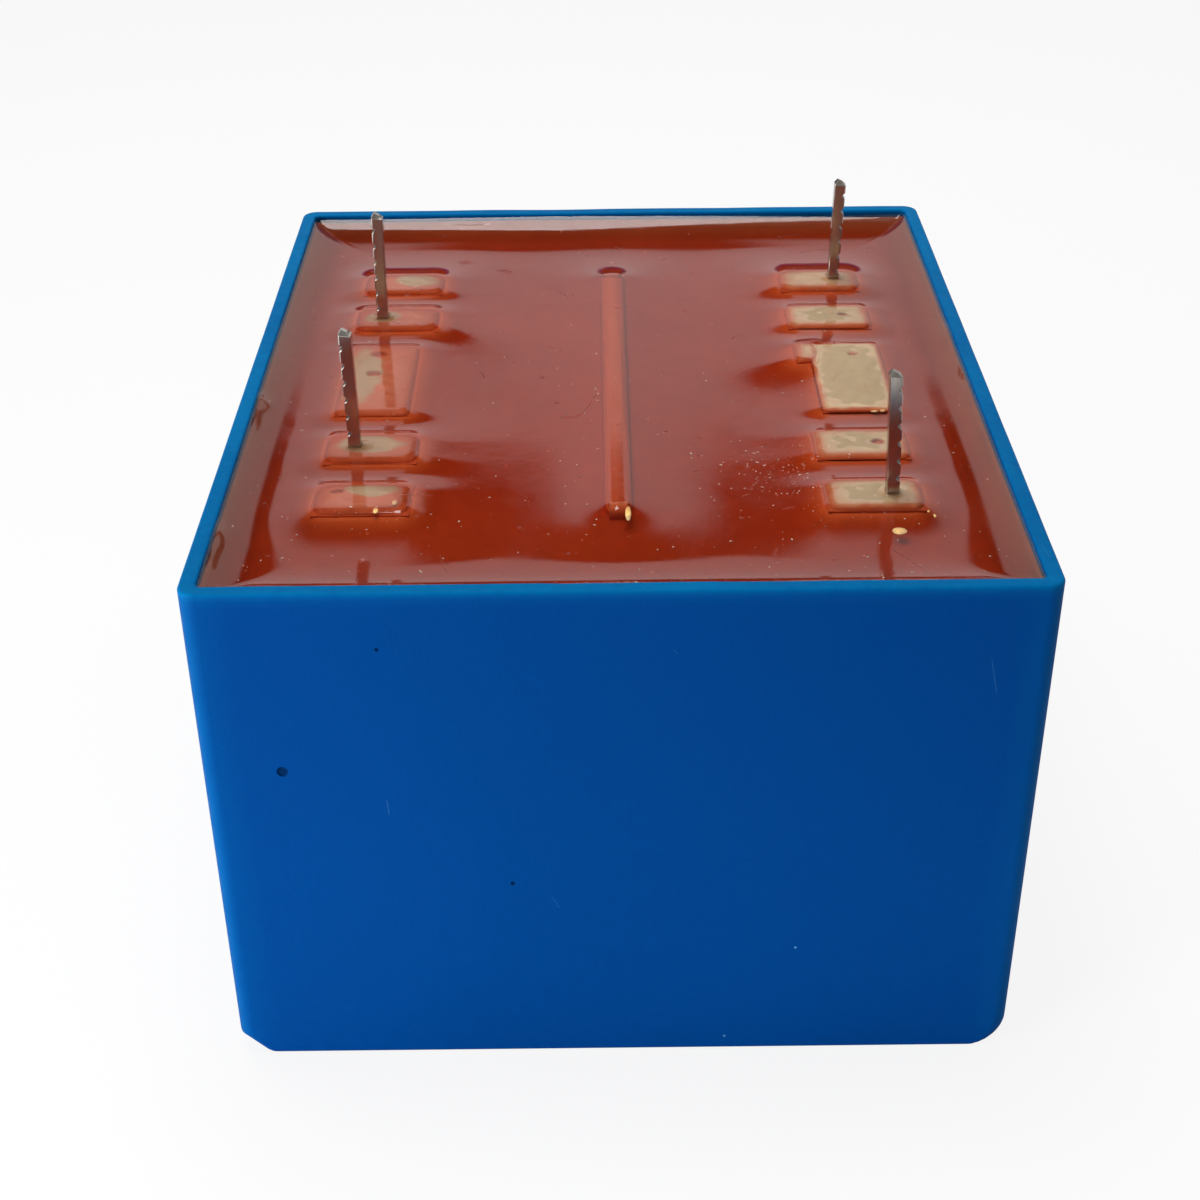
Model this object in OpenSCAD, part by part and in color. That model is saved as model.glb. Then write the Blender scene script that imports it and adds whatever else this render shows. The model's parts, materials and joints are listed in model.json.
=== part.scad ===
// Potted transformer for a printed circuit board: an interleaved E and I core, a bobbin
// with two winding chambers and two terminal rails, and a cup case filled with resin.
// Millimetres, +Z up. The closed face of the case lies on z = 0 and the pins point up.
// X runs across the two pin rows, Y along them; the primary row is on the +X side.

/* [Core] */
// Width of the centre leg, which sets the whole scrapless E and I outline
tongue_w = 14; // [13.5:0.5:15]
// Thickness of one lamination
lam_t = 0.5; // [0.35:0.05:0.65]
// Laminations in the stack
lam_count = 20; // [14:1:20]
// Diameter of the holes in the four corners of the stack
core_hole_d = 3.5; // [2:0.5:4.5]

/* [Case] */
// Thickness of the side walls
wall = 0.75; // [0.7:0.05:1.5]
// Thickness of the closed end
floor_t = 1; // [0.8:0.1:2]
// Gap between the core and the side walls
core_gap = 0.25; // [0.15:0.05:1]
// Outer radius of the upright corners
corner_r = 0.8; // [0.4:0.1:1.5]
// Inner radius of the upright corners
cavity_r = 0.3; // [0.2:0.05:0.8]
// Chamfer along the secondary side of the closed end
index_chamfer = 1.15; // [0.4:0.05:1.3]
// Radius along the primary side of the closed end
edge_r = 1.6; // [0.4:0.1:2]
// Height of the rim over the terminal pads
rim_rise = 0.7; // [0.3:0.1:2]

/* [Bobbin] */
// Wall of the tube that sits on the centre leg
tube_wall = 0.8; // [0.6:0.1:1.2]
// Outer corner radius of the tube
tube_r = 0.8; // [0.3:0.1:1.2]
// Gap between the tube and the centre leg
leg_gap = 0.1; // [0.05:0.05:0.3]
// Thickness of the end flanges and of the divider
flange_t = 0.8; // [0.6:0.1:1.2]
// Gap between the flanges and the core
flange_gap = 0.2; // [0.1:0.05:0.4]
// Rise of the flanges over the taped windings
flange_lip = 1.75; // [0.5:0.05:3]
// Corner radius of the flanges
flange_r = 0.8; // [0.3:0.1:1.5]
// Depth of the relief in the flange beside the middle pads
relief_depth = 1; // [0.4:0.1:2]
// End of the relief on the primary rail, from the middle
relief_end = 1.8; // [-2:0.1:3.5]

/* [Terminals] */
// Grid of the pin positions along a row
pitch = 5; // [4.8:0.1:5.1]
// Distance between the two pin rows
row_gap = 25; // [24:0.5:27]
// Grid steps between the two primary pins
primary_steps = 5; // [3:2:5]
// Grid steps between the two secondary pins
secondary_steps = 3; // [3:2:5]
// Width of a pad along the row
pad_w = 2.8; // [2:0.1:3.5]
// Diameter of the unused pin holes
spare_hole_d = 0.8; // [0.6:0.1:1.2]
// Depth of the unused pin holes
spare_hole_depth = 1.2; // [0.5:0.1:2]

/* [Pins] */
// Side of the square pins
pin_side = 0.6; // [0.5:0.05:0.9]
// Length of the pins above the rim
pin_reach = 5.4; // [3:0.1:8]
// Length of the pin tails below the rails
tail_l = 1.6; // [1.5:0.1:1.9]
// Gap between the soldered tails and the core
tail_gap = 0.65; // [0.3:0.05:0.8]
// Bevel of the pin tips
tip_bevel = 0.15; // [0.05:0.05:0.2]
// Spacing of the notches that are pressed into the pins
notch_pitch = 1.05; // [0.8:0.05:2]
// Depth of the notches
notch_depth = 0.1; // [0.05:0.01:0.15]

/* [Windings] */
// Gap between the taped windings and the side legs of the core
winding_gap = 1.5; // [0.3:0.1:2]
// Thickness of the tape over each winding
tape_t = 0.2; // [0.1:0.05:0.4]
// Diameter of the primary leads
primary_lead_d = 0.3; // [0.2:0.05:0.4]
// Diameter of the secondary leads
secondary_lead_d = 0.45; // [0.3:0.05:0.5]
// Gap between the leads and the edges that they pass
lead_gap = 0.1; // [0.05:0.05:0.2]
// Turns of a lead around its pin tail
lead_turns = 3; // [2:1:3]
// Thickness of the solder over the turns of a lead
solder_t = 0.2; // [0.1:0.05:0.4]

/* [Resin] */
// Depth of the resin below the pads
resin_drop = 0.6; // [0.2:0.1:0.7]
// Thickness of the clear layer over the filled resin
clear_t = 0.95; // [0.5:0.05:1]
// Radius of the curve in which the resin climbs the walls
meniscus_r = 1.5; // [0.5:0.1:1.5]
// Share of that radius at which the curve meets the wall
meniscus_reach = 0.95; // [0.5:0.05:0.95]

/* [Hidden] */
$fn = 48;
OVER = 1;
SIDES = [-1, 1];

// Scrapless laminations: every width follows from the centre leg
yoke_w = tongue_w / 2;
window_w = tongue_w / 2;
window_l = 1.5 * tongue_w;
core_l = window_l + 2 * yoke_w;
core_d = 3 * tongue_w;
stack_h = lam_count * lam_t;

// Bobbin, from the centre leg outwards
tube_w = tongue_w + 2 * (leg_gap + tube_wall);
tube_h = stack_h + 2 * (leg_gap + tube_wall);
winding_t = window_w - leg_gap - tube_wall - tape_t - winding_gap;
flange_w = tongue_w + 2 * (window_w - flange_gap);
bobbin_h = tube_h + 2 * (winding_t + tape_t + flange_lip);
flange_out = window_l / 2 - flange_gap;
chamber_end = flange_out - flange_t;

// Heights
axis_z = floor_t + bobbin_h / 2;
core_z = axis_z - stack_h / 2;
tube_z = axis_z + tube_h / 2;
pad_z = floor_t + bobbin_h;
rim_z = pad_z + rim_rise;
tip_z = rim_z + pin_reach;
tail_z = core_z + stack_h + tail_gap + solder_t;
rail_z = tail_z + tail_l;
resin_z = pad_z - resin_drop;
fill_z = resin_z - clear_t;

// Case and terminals
cavity_w = core_l + 2 * core_gap;
cavity_d = core_d + 2 * core_gap;
case_w = cavity_w + 2 * wall;
case_d = cavity_d + 2 * wall;
row_x = row_gap / 2;
rail_out = row_x + pad_w / 2;
slot_w = pitch - pad_w;
GRID = [-2.5, -1.5, -0.5, 0.5, 1.5, 2.5];
SLOTS = [-2, -1, 1, 2];

// Leads: half the diagonal of a pin is the inner radius of the turns around it
pin_r = pin_side * sqrt(2) / 2;
// Rise of one turn, in diameters of the wire
turn_rise = 0.9;
// Radius of a bend in a lead, in diameters of the wire
wire_bend = 0.75;

// Sides of the part, as the sign of X
PRIMARY = 1;
SECONDARY = -1;
// Ends of a pin row, as the sign of Y
FRONT = -1;
REAR = 1;

function row_steps(side) = side == PRIMARY ? primary_steps : secondary_steps;
function lead_d(side) = side == PRIMARY ? primary_lead_d : secondary_lead_d;
function pin_y(side, end) = end * row_steps(side) * pitch / 2;

// A lead leaves through the slot that is next to its pin, on the way to the middle
function slot_y(side, end) = pin_y(side, end) - end * pitch / 2;

// Height of the side face of a winding over its tube, at y: its outer corners are round
function winding_rise(y) =
    let (r = tube_r + winding_t, over = max(0, abs(y) - tube_w / 2 + tube_r))
    sqrt(r * r - over * over) - tube_r;

// Height at which a lead leaves its winding, just below the edge of the side face
function exit_z(side) =
    let (d = lead_d(side))
    tube_z + winding_rise(slot_y(side, REAR) + d / 2) - lead_gap - d / 2;

// The slots reach down to the lowest lead
slot_z = min([for (side = SIDES) exit_z(side) - lead_gap - lead_d(side) / 2]);

LAMS = [for (i = [1:lam_count]) i];

// ---- Shared outlines ----

// Rectangle with round corners, centred
module rounded_rect(size, r) {
    square([size.x - 2 * r, size.y], center = true);
    square([size.x, size.y - 2 * r], center = true);
    for (x = SIDES, y = SIDES)
        translate([x * (size.x / 2 - r), y * (size.y / 2 - r)]) circle(r);
}

// Prism along X from x0 to x1: its outline lies in YZ, around the axis of the coils
module along_x(x0, x1) {
    translate([x0, 0, axis_z]) rotate([90, 0, 90]) linear_extrude(x1 - x0) children();
}

// ---- Case ----

// The closed end seen along Y: chamfered on the secondary side, round on the primary one
module case_front() {
    intersection() {
        translate([-case_w / 2, 0]) square([case_w, rim_z]);
        union() {
            translate([-case_w / 2, index_chamfer]) square([case_w - edge_r, rim_z]);
            translate([index_chamfer - case_w / 2, 0])
                square([case_w - index_chamfer - edge_r, rim_z]);
            polygon([
                [-case_w / 2, index_chamfer],
                [index_chamfer - case_w / 2, 0],
                [index_chamfer - case_w / 2, index_chamfer]
            ]);
            translate([case_w / 2 - edge_r, edge_r]) circle(edge_r);
            translate([0, edge_r]) square([case_w / 2, rim_z]);
        }
    }
}

module case_shell() {
    color("#0a5fa8") difference() {
        intersection() {
            linear_extrude(rim_z) rounded_rect([case_w, case_d], corner_r);
            translate([0, case_d / 2 + OVER, 0]) rotate([90, 0, 0])
                linear_extrude(case_d + 2 * OVER) case_front();
        }
        translate([0, 0, floor_t])
            linear_extrude(rim_z) rounded_rect([cavity_w, cavity_d], cavity_r);
    }
}

// ---- Core ----

// Corner holes of the stack, on the given sides
module core_holes(sides) {
    for (x = sides, y = SIDES)
        translate([x * (core_l - yoke_w) / 2, y * (core_d - yoke_w) / 2]) circle(d = core_hole_d);
}

// The two windows between the legs
module windows() {
    for (y = SIDES)
        translate([0, y * (tongue_w + window_w) / 2]) square([window_l, window_w], center = true);
}

// Outline of the whole stack, as the interleaved E and I shapes fill it
module core_outline() {
    difference() {
        square([core_l, core_d], center = true);
        windows();
        core_holes(SIDES);
    }
}

// Every second lamination is turned end for end, so that the joints overlap
function lam_side(i) = i % 2 == 0 ? SECONDARY : PRIMARY;

// One layer of the stack: the part of its outline between x0 and x1
module lamination(i, x0, x1) {
    color("#8c8f94") translate([0, 0, core_z + (i - 1) * lam_t])
        linear_extrude(lam_t) intersection() {
            core_outline();
            translate([min(x0, x1), -core_d / 2]) square([abs(x1 - x0), core_d]);
        }
}

// Back of the E and its three legs
module e_lamination(i) {
    side = lam_side(i);
    lamination(i, side * core_l / 2, -side * window_l / 2);
}

// The bar that closes the legs of the E in the same layer
module i_lamination(i) {
    side = lam_side(i);
    lamination(i, -side * window_l / 2, -side * core_l / 2);
}

// ---- Bobbin ----

// Flange from x0 to x1, as a plate around the tube
module flange(x0, x1) {
    along_x(x0, x1) rounded_rect([flange_w, bobbin_h], flange_r);
}

// Rail that overhangs the yoke, from the chamber out past the pins
module rail() {
    translate([chamber_end, -flange_w / 2, rail_z])
        cube([rail_out - chamber_end, flange_w, pad_z - rail_z]);
}

// Slots that part the rail into pads and let the leads out
module rail_slots() {
    for (s = SLOTS)
        translate([chamber_end - OVER, s * pitch - slot_w / 2, slot_z])
            cube([rail_out - chamber_end + 2 * OVER, slot_w, pad_z - slot_z + OVER]);
}

// Relief in the top edge of the flange beside the middle pad, up to y_end
module flange_relief(y_end) {
    translate([chamber_end - OVER, -pitch, pad_z - relief_depth])
        cube([flange_t + OVER, pitch + y_end, relief_depth + OVER]);
}

// True where the grid position a number of steps from the middle holds a pin
function has_pin(side, step) = abs(step) == row_steps(side) / 2;

// Square holes of one row, which the pins are pressed into
module pin_holes(side) {
    for (step = GRID)
        if (has_pin(side, step))
            translate([row_x - pin_side / 2, step * pitch - pin_side / 2, tail_z])
                cube([pin_side, pin_side, tip_z - tail_z]);
}

// Round blind holes of one row, at the grid positions that are left without a pin
module spare_holes(side) {
    for (step = GRID)
        if (!has_pin(side, step))
            translate([row_x, step * pitch, pad_z - spare_hole_depth])
                cylinder(d = spare_hole_d, h = spare_hole_depth + OVER);
}

// Copy to a side of the part: a turn in X for the secondary one
module on_side(side) {
    if (side == PRIMARY) children();
    else mirror([1, 0, 0]) children();
}

module bobbin() {
    color("#d9cfb4") difference() {
        union() {
            along_x(-flange_out, flange_out) rounded_rect([tube_w, tube_h], tube_r);
            flange(-flange_t / 2, flange_t / 2);
            for (side = [PRIMARY, SECONDARY])
                on_side(side) {
                    flange(chamber_end, flange_out);
                    rail();
                }
        }
        along_x(-flange_out - OVER, flange_out + OVER)
            square([tongue_w + 2 * leg_gap, stack_h + 2 * leg_gap], center = true);
        on_side(PRIMARY) flange_relief(relief_end);
        on_side(SECONDARY) flange_relief(pitch);
        for (side = [PRIMARY, SECONDARY])
            on_side(side) {
                rail_slots();
                pin_holes(side);
                spare_holes(side);
            }
    }
}

// ---- Windings and tapes ----

// Closed ring around the tube in one chamber, t_in to t_out above the tube
module coil(side, t_in, t_out) {
    on_side(side) along_x(flange_t / 2, chamber_end) difference() {
        rounded_rect([tube_w + 2 * t_out, tube_h + 2 * t_out], tube_r + t_out);
        rounded_rect([tube_w + 2 * t_in, tube_h + 2 * t_in], tube_r + t_in);
    }
}

module winding(side) {
    color(side == PRIMARY ? "#a5562a" : "#b8672f") coil(side, 0, winding_t);
}

module tape(side) {
    color("#e3c75a") coil(side, winding_t, winding_t + tape_t);
}

// ---- Pins ----

// Square wire with a bevelled tip and notches across its two sides that face along X
module pin(side, end) {
    bevel = tip_bevel * sqrt(2);
    notch = notch_depth * sqrt(2);
    color("#c9c6bd") translate([side * row_x, pin_y(side, end), 0]) difference() {
        translate([-pin_side / 2, -pin_side / 2, tail_z])
            cube([pin_side, pin_side, tip_z - tail_z]);
        for (a = [0:90:270])
            rotate([0, 0, a]) translate([pin_side / 2, 0, tip_z]) rotate([0, 45, 0])
                cube([bevel, 2 * pin_side, bevel], center = true);
        for (z = [tip_z - notch_pitch:-notch_pitch:pad_z], x = SIDES)
            translate([x * pin_side / 2, 0, z]) rotate([0, 45, 0])
                cube([notch, 2 * pin_side, notch], center = true);
    }
}

// ---- Leads and solder ----

// Round wire in a flat U: out along X, down along Y by a drop and back, with round bends
module wire_u(out, drop, back, d) {
    bend_r = wire_bend * d;
    rotate([0, 90, 0]) cylinder(d = d, h = out - bend_r);
    translate([out - bend_r, bend_r, 0]) rotate([0, 0, -90]) quarter_bend(bend_r, d);
    translate([out, bend_r, 0]) rotate([-90, 0, 0]) cylinder(d = d, h = drop - 2 * bend_r);
    translate([out - bend_r, drop - bend_r, 0]) quarter_bend(bend_r, d);
    translate([out - bend_r, drop, 0]) rotate([0, -90, 0]) cylinder(d = d, h = back - bend_r);
}

// Quarter bend of a wire, from +X to +Y
module quarter_bend(bend_r, d) {
    rotate_extrude(angle = 90) translate([bend_r, 0]) circle(d = d);
}

// Lead of a winding: out through the next slot, down the face of the rail and around the tail
module lead(side, end) {
    d = lead_d(side);
    y = pin_y(side, end);
    turn_r = pin_r + d / 2;
    turn_z = rail_z - lead_gap - d / 2;
    start = [chamber_end, slot_y(side, end), exit_z(side)];
    out = rail_out + lead_gap + d / 2 - start.x;
    across = y - start.y;
    down = turn_z - turn_rise * d / 2 - start.z;
    color("#a5562a") on_side(side) {
        translate(start) rotate([atan2(down, across), 0, 0])
            wire_u(out, norm([across, down]), start.x + out - row_x - turn_r, d);
        translate([row_x, y, 0]) rotate_extrude()
            for (i = [0:lead_turns - 1])
                translate([turn_r, turn_z - i * turn_rise * d]) circle(d = d);
    }
}

// Bead of solder over the turns, pulled in towards the end of the tail
module solder(side, end) {
    d = lead_d(side);
    bead_r = pin_r + d + solder_t;
    top = rail_z - lead_gap / 2;
    color("#b9bcc0") difference() {
        translate([side * row_x, pin_y(side, end), 0]) rotate_extrude() polygon([
            [0, tail_z - solder_t],
            [pin_r, tail_z - solder_t],
            [bead_r, tail_z + solder_t],
            [bead_r, top - solder_t],
            [bead_r - solder_t, top],
            [0, top]
        ]);
        pin(side, end);
        lead(side, end);
    }
}

// ---- Resin ----

// Air over resin of a level: its lower edges are round, and they pass a little way into the
// walls, so the resin is left with a hollow curve that climbs each wall
module air(level) {
    inset = meniscus_r * meniscus_reach;
    w = cavity_w - 2 * inset;
    d = cavity_d - 2 * inset;
    top = level + meniscus_r;
    translate([-w / 2, -d / 2, level]) cube([w, d, meniscus_r + OVER]);
    translate([-w / 2 - meniscus_r, -d / 2, top]) cube([w + 2 * meniscus_r, d, OVER]);
    translate([-w / 2, -d / 2 - meniscus_r, top]) cube([w, d + 2 * meniscus_r, OVER]);
    for (x = SIDES)
        translate([x * w / 2, d / 2, top]) rotate([90, 0, 0]) cylinder(r = meniscus_r, h = d);
    for (y = SIDES)
        translate([-w / 2, y * d / 2, top]) rotate([0, 90, 0]) cylinder(r = meniscus_r, h = w);
    for (x = SIDES, y = SIDES)
        translate([x * w / 2, y * d / 2, top]) sphere(r = meniscus_r);
}

// Cavity filled with resin up to a level
module filled(level) {
    climb = meniscus_r * (1 - sqrt(1 - pow(meniscus_reach, 2)));
    difference() {
        translate([0, 0, floor_t])
            linear_extrude(level + climb - floor_t) rounded_rect([cavity_w, cavity_d], cavity_r);
        air(level);
    }
}

// Everything that stands in the resin, and the unused holes, which stay open
module sealed_in() {
    translate([0, 0, core_z]) linear_extrude(stack_h) core_outline();
    along_x(-flange_out, flange_out) rounded_rect([tube_w, tube_h], tube_r);
    bobbin();
    for (side = [PRIMARY, SECONDARY]) {
        on_side(side) spare_holes(side);
        coil(side, 0, winding_t + tape_t);
        for (end = [FRONT, REAR]) {
            pin(side, end);
            lead(side, end);
            solder(side, end);
        }
    }
}

// Filled resin around the core and the windings
module potting() {
    color("#7a2410") difference() {
        filled(fill_z);
        sealed_in();
    }
}

// Clear layer that is left on top where the filler has settled
module clear_resin() {
    color("#a83418") difference() {
        filled(resin_z);
        filled(fill_z);
        sealed_in();
    }
}

// ---- Nodes ----

case_shell();  // case
potting();
clear_resin();
bobbin();
winding(PRIMARY);  // primary_winding
tape(PRIMARY);  // primary_tape
winding(SECONDARY);  // secondary_winding
tape(SECONDARY);  // secondary_tape
pin(PRIMARY, FRONT);  // primary_pin_front
pin(PRIMARY, REAR);  // primary_pin_rear
pin(SECONDARY, FRONT);  // secondary_pin_front
pin(SECONDARY, REAR);  // secondary_pin_rear
lead(PRIMARY, FRONT);  // primary_lead_front
lead(PRIMARY, REAR);  // primary_lead_rear
lead(SECONDARY, FRONT);  // secondary_lead_front
lead(SECONDARY, REAR);  // secondary_lead_rear
solder(PRIMARY, FRONT);  // primary_solder_front
solder(PRIMARY, REAR);  // primary_solder_rear
solder(SECONDARY, FRONT);  // secondary_solder_front
solder(SECONDARY, REAR);  // secondary_solder_rear
for (i = LAMS) e_lamination(i);
for (i = LAMS) i_lamination(i);
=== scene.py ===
"""Looks of a potted printed-circuit transformer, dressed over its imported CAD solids.

The case, the resin, the bobbin with its terminal pads and the pins are new surfaces worked out with
numpy. The core, windings, tapes, leads and solder keep their CAD shapes and get their finishes.
"""

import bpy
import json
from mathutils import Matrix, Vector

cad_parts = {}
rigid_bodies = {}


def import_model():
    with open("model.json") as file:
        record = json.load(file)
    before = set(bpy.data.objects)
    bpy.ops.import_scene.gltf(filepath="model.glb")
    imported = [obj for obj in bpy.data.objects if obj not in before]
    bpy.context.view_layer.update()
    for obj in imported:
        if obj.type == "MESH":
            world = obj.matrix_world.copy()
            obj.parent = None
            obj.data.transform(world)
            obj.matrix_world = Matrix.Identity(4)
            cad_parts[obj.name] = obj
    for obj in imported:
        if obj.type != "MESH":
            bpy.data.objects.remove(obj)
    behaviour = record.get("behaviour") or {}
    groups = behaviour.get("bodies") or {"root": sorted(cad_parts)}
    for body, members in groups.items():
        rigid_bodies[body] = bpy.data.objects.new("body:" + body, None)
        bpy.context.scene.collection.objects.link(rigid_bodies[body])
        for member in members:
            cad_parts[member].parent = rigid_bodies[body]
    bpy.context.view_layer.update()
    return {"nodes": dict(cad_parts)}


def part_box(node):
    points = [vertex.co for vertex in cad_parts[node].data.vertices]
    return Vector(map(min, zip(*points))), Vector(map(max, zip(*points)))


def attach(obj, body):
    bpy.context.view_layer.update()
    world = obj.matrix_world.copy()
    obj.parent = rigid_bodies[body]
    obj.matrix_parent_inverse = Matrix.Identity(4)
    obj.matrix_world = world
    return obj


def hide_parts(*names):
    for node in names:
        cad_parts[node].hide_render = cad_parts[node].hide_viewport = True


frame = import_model()

import json
import logging
import math
from dataclasses import dataclass, field
from enum import Enum
from typing import Callable

import bpy
import numpy as np
from mathutils import Matrix, Vector

LOG = logging.getLogger("transformer")
MM = 0.001

# Points, quads and triangles of a closed surface
Surface = tuple[np.ndarray, np.ndarray, np.ndarray]
Color = tuple[float, float, float, float]


class Side(Enum):
    """The two terminal rows, by the sign of X."""

    PRIMARY = 1
    SECONDARY = -1

    @property
    def word(self) -> str:
        """Name of the row, as the frame's nodes spell it."""
        return self.name.lower()


# ---------------------------------------------------------------- Sizes


def box_mm(node: str) -> tuple[np.ndarray, np.ndarray]:
    """Give a node's lowest and highest corners in millimetres.

    Args:
        node: Name of a CAD node.

    Returns:
        The lowest and the highest corner.
    """
    low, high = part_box(node)
    return np.array(low) / MM, np.array(high) / MM


@dataclass(frozen=True)
class Layout:
    """Sizes that the pieces share, in millimetres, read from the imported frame."""

    case_half: np.ndarray
    rim_z: float
    cavity_half: np.ndarray
    floor_z: float
    pad_z: float
    tape_z: float
    rail_out: float
    flange_half: float
    pitch: float
    row_x: float
    pins: dict[str, tuple[np.ndarray, np.ndarray]]

    @classmethod
    def from_frame(cls) -> "Layout":
        """Read the sizes from the boxes of the CAD nodes."""
        _, case_high = box_mm("case")
        resin_low, resin_high = box_mm("potting")
        _, bobbin_high = box_mm("bobbin")
        _, tape_high = box_mm("primary_tape")
        pins = {
            f"{side.word}_pin_{end}": box_mm(f"{side.word}_pin_{end}")
            for side in Side
            for end in ("front", "rear")
        }
        pin_low, pin_high = pins["primary_pin_rear"]
        middle = (pin_low + pin_high) / 2
        return cls(
            case_half=case_high[:2],
            rim_z=float(case_high[2]),
            cavity_half=resin_high[:2],
            floor_z=float(resin_low[2]),
            pad_z=float(bobbin_high[2]),
            tape_z=float(tape_high[2]),
            rail_out=float(bobbin_high[0]),
            flange_half=float(bobbin_high[1]),
            pitch=float(middle[1]) / 2.5,
            row_x=float(middle[0]),
            pins=pins,
        )


# ---------------------------------------------------------------- Shapes


def ease(edge0: float, edge1: float, value: np.ndarray) -> np.ndarray:
    """Rise smoothly from 0 to 1 between two values: 3t^2 - 2t^3 of the clipped share t."""
    share = np.clip((value - edge0) / (edge1 - edge0), 0.0, 1.0)
    return share * share * (3.0 - 2.0 * share)


def ripple(x: np.ndarray, y: np.ndarray, size: float, seed: int, waves: int = 12) -> np.ndarray:
    """Give a smooth, irregular field about zero: a mean of plane waves in seeded directions.

    Args:
        x: First coordinate of the points.
        y: Second coordinate, of the same shape.
        size: Typical length of a wave.
        seed: Seed of the directions and phases.
        waves: Number of waves.

    Returns:
        Values of about -1 to 1, of the same shape as x.
    """
    rng = np.random.default_rng(seed)
    angle = rng.uniform(0, 2 * np.pi, waves)
    number = 2 * np.pi / (size * rng.uniform(0.6, 1.8, waves))
    phase = rng.uniform(0, 2 * np.pi, waves)
    shape = (waves,) + (1,) * np.ndim(x)
    turn = (number * np.cos(angle)).reshape(shape) * x + (number * np.sin(angle)).reshape(shape) * y
    return np.cos(turn + phase.reshape(shape)).sum(axis=0) / math.sqrt(waves)


def box_distance(x: np.ndarray, y: np.ndarray, centre: tuple[float, float],
                 half: tuple[float, float], radius: float) -> np.ndarray:
    """Give the signed distance from points to a rectangle with round corners, negative inside.

    Args:
        x: First coordinate of the points.
        y: Second coordinate of the points.
        centre: Centre of the rectangle.
        half: Half of its sides.
        radius: Radius of its corners.

    Returns:
        The distances, of the same shape as x.
    """
    across = np.abs(x - centre[0]) - half[0] + radius
    along = np.abs(y - centre[1]) - half[1] + radius
    outside = np.hypot(np.maximum(across, 0.0), np.maximum(along, 0.0))
    return outside + np.minimum(np.maximum(across, along), 0.0) - radius


def round_outline(half: tuple[float, float], radius: float, corner: int, side: int) -> np.ndarray:
    """Give the points of a rectangle with round corners, anticlockwise.

    Each corner is a quarter turn about its own centre, and each side is the straight run to the next.

    Args:
        half: Half of the sides.
        radius: Radius of the corners.
        corner: Steps in a corner.
        side: Steps in a side.

    Returns:
        An array of points, one row each.
    """
    turn = np.linspace(0.0, np.pi / 2, corner + 1)
    quarter = np.stack([np.cos(turn), np.sin(turn)], axis=1) * radius
    signs = np.array([[1, 1], [-1, 1], [-1, -1], [1, -1]], dtype=float)
    arcs = []
    for index, sign in enumerate(signs):
        spin = np.pi / 2 * index
        matrix = np.array([[math.cos(spin), math.sin(spin)], [-math.sin(spin), math.cos(spin)]])
        arcs.append(quarter @ matrix + sign * (np.array(half) - radius))
    runs = []
    share = (np.linspace(0.0, 1.0, side + 1)[1:-1])[:, None]
    for index, arc in enumerate(arcs):
        ahead = arcs[(index + 1) % len(arcs)]
        runs.append(np.vstack([arc, arc[-1] + (ahead[0] - arc[-1]) * share]))
    return np.vstack(runs)


def round_over(radius: float, z: np.ndarray) -> np.ndarray:
    """Give how far a quarter circle at the base draws a wall in: r - sqrt(r^2 - (r - z)^2)."""
    below = np.maximum(radius - z, 0)
    return radius - np.sqrt(np.maximum(radius**2 - below**2, 0))


def ring_faces(rows: int, columns: int) -> np.ndarray:
    """Give the quads of a closed tube of points, row after row."""
    index = np.arange(rows * columns).reshape(rows, columns)
    ahead = np.roll(index, -1, axis=1)
    return np.stack([index[:-1], ahead[:-1], ahead[1:], index[1:]], axis=-1).reshape(-1, 4)


def fan_faces(ring: np.ndarray, hub: int, inward: bool) -> np.ndarray:
    """Give the triangles from a ring of point numbers to one hub point."""
    ahead = np.roll(ring, -1)
    hubs = np.full_like(ring, hub)
    return np.stack([ahead, ring, hubs] if inward else [ring, ahead, hubs], axis=-1)


def closed_tube(rings: np.ndarray) -> Surface:
    """Close a stack of rings with a hub point at each end.

    Args:
        rings: Points as rows, columns and coordinates.

    Returns:
        Points, quads and triangles of a closed surface.
    """
    rows, columns, _ = rings.shape
    hubs = np.stack([rings[0].mean(axis=0), rings[-1].mean(axis=0)])
    points = np.vstack([rings.reshape(-1, 3), hubs])
    first, last = np.arange(columns), np.arange(columns) + (rows - 1) * columns
    tris = np.vstack([
        fan_faces(first, rows * columns, inward=True),
        fan_faces(last, rows * columns + 1, inward=False),
    ])
    return points, ring_faces(rows, columns), tris


def enclosed_volume(points: np.ndarray, quads: np.ndarray, tris: np.ndarray) -> float:
    """Give the signed volume inside a closed surface, as a sum over its triangles."""
    halves = np.vstack([quads[:, [0, 1, 2]], quads[:, [0, 2, 3]], tris])
    a, b, c = points[halves[:, 0]], points[halves[:, 1]], points[halves[:, 2]]
    return float(np.einsum("ij,ij->i", a, np.cross(b, c)).sum() / 6)


def merged(parts: list[Surface]) -> Surface:
    """Join several closed surfaces into one set of points, quads and triangles."""
    starts = np.cumsum([0] + [len(part[0]) for part in parts[:-1]])
    return (
        np.vstack([part[0] for part in parts]),
        np.vstack([part[1] + start for part, start in zip(parts, starts)]),
        np.vstack([part[2] + start for part, start in zip(parts, starts)]),
    )


def new_object(name: str, data: bpy.types.ID) -> bpy.types.Object:
    """Make an object and link it to the scene."""
    made = bpy.data.objects.new(name, data)
    bpy.context.scene.collection.objects.link(made)
    return made


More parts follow.
